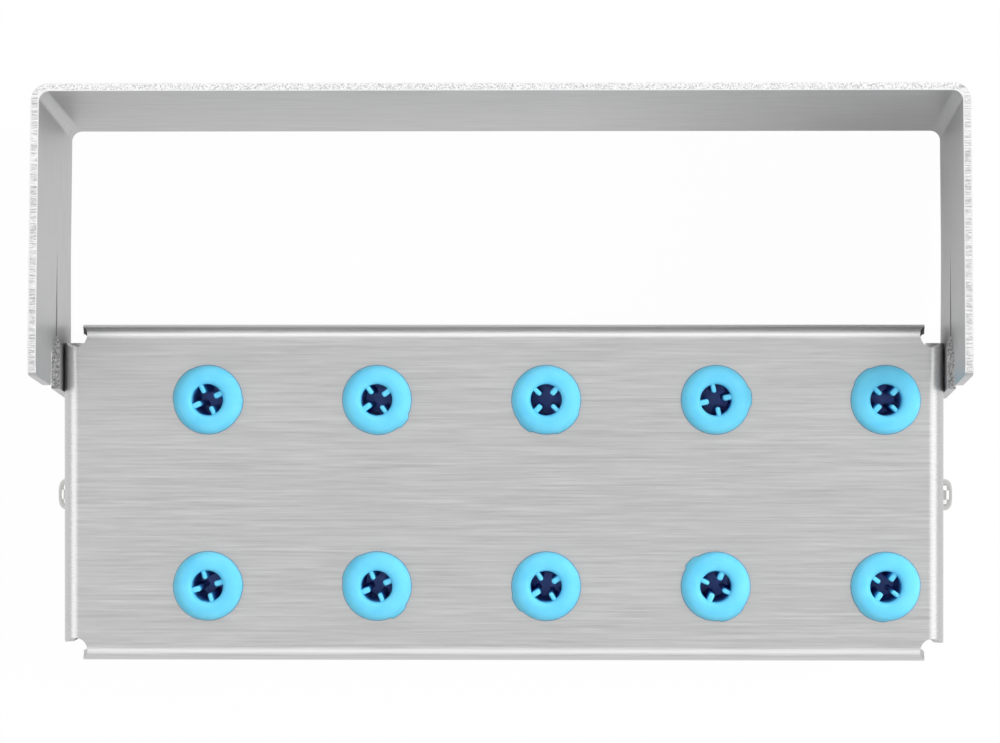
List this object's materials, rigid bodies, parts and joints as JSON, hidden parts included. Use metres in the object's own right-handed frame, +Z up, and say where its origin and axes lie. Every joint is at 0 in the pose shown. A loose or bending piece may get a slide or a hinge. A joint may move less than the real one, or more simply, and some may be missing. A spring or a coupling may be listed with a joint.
{
  "type": "dental bur block",
  "caption": "Low folded sheet block with two rows of ribbed silicone sockets for dental burs, and a folded strip lid that swings over them on side rivets.",
  "frame": {"origin": "centre of the block's underside, on the table", "axes": "+X along the block, +Y to the back where the open lid lies, +Z up"},
  "size_m": [0.0994, 0.0618, 0.031],
  "materials": {
    "brushed_sheet": "aluminium sheet brushed along its length",
    "lid_sheet": "aluminium sheet brushed along the strip, with bare sheared edges",
    "rivet_metal": "bright rolled rivet",
    "screw_metal": "bright stainless screw",
    "blue_silicone": "satin moulded silicone"
  },
  "bodies": {
    "block": {"cover": "brushed_sheet", "base_tray": "brushed_sheet", "pivot_rivet_left": "rivet_metal", "pivot_rivet_right": "rivet_metal", "side_screw_left": "screw_metal", "side_screw_right": "screw_metal", "socket_back_1": "blue_silicone", "socket_back_2": "blue_silicone", "socket_back_3": "blue_silicone", "socket_back_4": "blue_silicone", "socket_back_5": "blue_silicone", "socket_front_1": "blue_silicone", "socket_front_2": "blue_silicone", "socket_front_3": "blue_silicone", "socket_front_4": "blue_silicone", "socket_front_5": "blue_silicone"},
    "lid": {"lid_strip": "lid_sheet"}
  },
  "joints": [
    {"name": "lid_hinge", "type": "hinge", "parent": "block", "child": "lid", "pos_m": [0, 0.0135, 0.00876], "axis": [1, 0, 0], "range_deg": [0, 95.7]}
  ]
}
